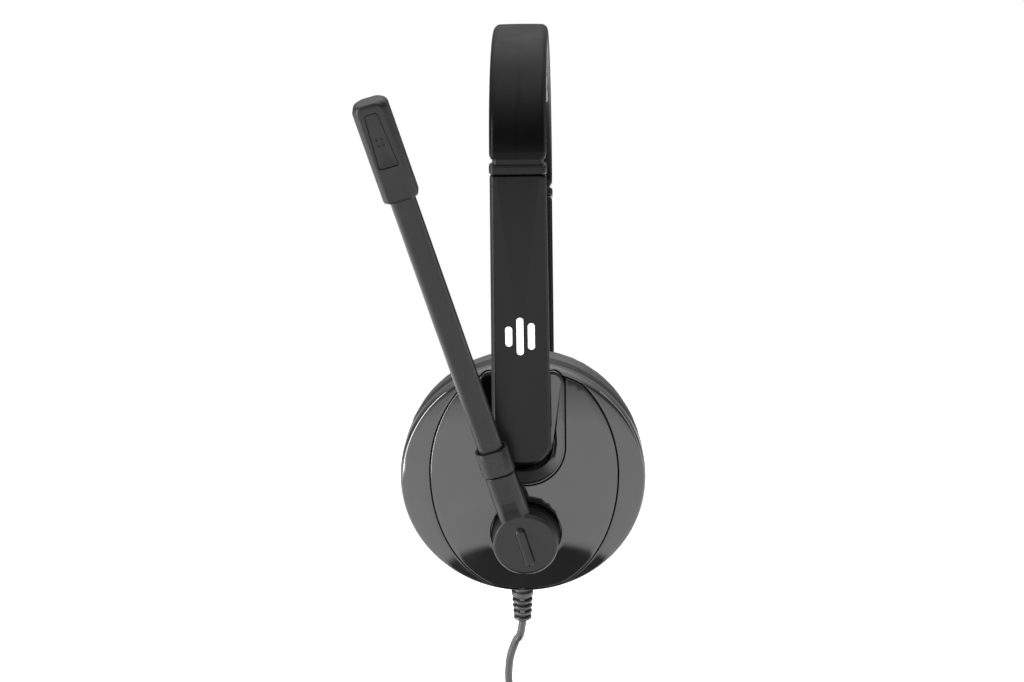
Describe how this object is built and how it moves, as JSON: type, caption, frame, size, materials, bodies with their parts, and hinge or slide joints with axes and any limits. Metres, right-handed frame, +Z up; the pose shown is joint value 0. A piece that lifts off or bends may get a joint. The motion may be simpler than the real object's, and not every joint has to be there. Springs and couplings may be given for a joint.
{
  "type": "office headset",
  "caption": "Over-head headset: sprung band in a soft sleeve, sliding arms, round padded ear cups on ball joints, and a microphone boom swinging on a hub, with a coiled cord.",
  "frame": {"origin": "middle of the headband's underside, where it rests on the crown of the head", "axes": "+Z up, X through the ears with +X at the wearer's left, the wearer faces -Y"},
  "size_m": [0.1863, 0.0846, 0.2657],
  "materials": {
    "gloss_black": "polished black plastic",
    "satin_black": "fine-grained satin black plastic",
    "soft_black": "soft-touch black sleeve",
    "cord_black": "matt black cord jacket and mouldings",
    "leatherette": "black leatherette with a fine grain",
    "speaker_fabric": "open black knit and foam",
    "spring_steel": "brushed",
    "gold_contact": "polished, gold flashed",
    "amber_film": "thin amber film"
  },
  "bodies": {
    "headband": {"spring_band": "spring_steel", "band_sleeve": "soft_black", "crown_pad": "leatherette", "sleeve_collar_left": "satin_black", "sleeve_collar_right": "satin_black"},
    "arm_left": {"arm_cover_left": "satin_black", "arm_back_left": "satin_black", "arm_screw_1_left": "spring_steel", "arm_screw_2_left": "spring_steel", "detent_leaf_left": "spring_steel", "ball_stud_left": "spring_steel"},
    "socket_left": {"ball_socket_left": "satin_black"},
    "cup_left": {"cup_housing_left": "gloss_black", "gloss_panel_left": "gloss_black", "arm_pocket_left": "gloss_black", "socket_cap_left": "satin_black", "rear_frame_left": "satin_black", "case_screw_1_left": "spring_steel", "case_screw_2_left": "spring_steel", "driver_basket_left": "satin_black", "driver_magnet_left": "spring_steel", "driver_diaphragm_left": "amber_film", "speaker_cloth_left": "speaker_fabric", "ear_cushion_left": "leatherette", "hub_bearing": "satin_black", "strain_relief": "cord_black", "cord_lead": "cord_black", "cord_coil": "cord_black", "cord_tie": "cord_black", "plug_body": "cord_black", "plug_pin": "gold_contact"},
    "arm_right": {"arm_cover_right": "satin_black", "arm_back_right": "satin_black", "arm_screw_1_right": "spring_steel", "arm_screw_2_right": "spring_steel", "detent_leaf_right": "spring_steel", "ball_stud_right": "spring_steel"},
    "socket_right": {"ball_socket_right": "satin_black"},
    "cup_right": {"cup_housing_right": "gloss_black", "gloss_panel_right": "gloss_black", "arm_pocket_right": "gloss_black", "socket_cap_right": "satin_black", "rear_frame_right": "satin_black", "case_screw_1_right": "spring_steel", "case_screw_2_right": "spring_steel", "driver_basket_right": "satin_black", "driver_magnet_right": "spring_steel", "driver_diaphragm_right": "amber_film", "speaker_cloth_right": "speaker_fabric", "ear_cushion_right": "leatherette"},
    "boom": {"boom_hub": "satin_black", "hub_clip": "spring_steel", "boom_collar": "satin_black", "boom_tube": "satin_black", "mic_head": "satin_black", "port_panel": "satin_black", "mic_foam": "speaker_fabric", "mic_capsule": "spring_steel"}
  },
  "joints": [
    {"name": "arm_left_slide", "type": "slide", "parent": "headband", "child": "arm_left", "axis": [-0.2504, 0, -0.9681], "range_m": [0, 0.023]},
    {"name": "cup_left_tilt", "type": "hinge", "parent": "arm_left", "child": "socket_left", "pos_m": [0.04495, 0, -0.11635], "axis": [0, 1, 0], "range_deg": [-11, 1]},
    {"name": "cup_left_swivel", "type": "hinge", "parent": "socket_left", "child": "cup_left", "pos_m": [0.04495, 0, -0.11635], "axis": [0.3502, 0, 0.9367], "range_deg": [-5, 5]},
    {"name": "arm_right_slide", "type": "slide", "parent": "headband", "child": "arm_right", "axis": [0.2504, 0, -0.9681], "range_m": [0, 0.023]},
    {"name": "cup_right_tilt", "type": "hinge", "parent": "arm_right", "child": "socket_right", "pos_m": [-0.04495, 0, -0.11635], "axis": [0, -1, 0], "range_deg": [-11, 1]},
    {"name": "cup_right_swivel", "type": "hinge", "parent": "socket_right", "child": "cup_right", "pos_m": [-0.04495, 0, -0.11635], "axis": [0.3502, 0, -0.9367], "range_deg": [-5, 5]},
    {"name": "boom_swing", "type": "hinge", "parent": "cup_left", "child": "boom", "pos_m": [0.04196, 0.00085, -0.15175], "axis": [0.9367, 0, -0.3502], "range_deg": [-17, 253]}
  ]
}
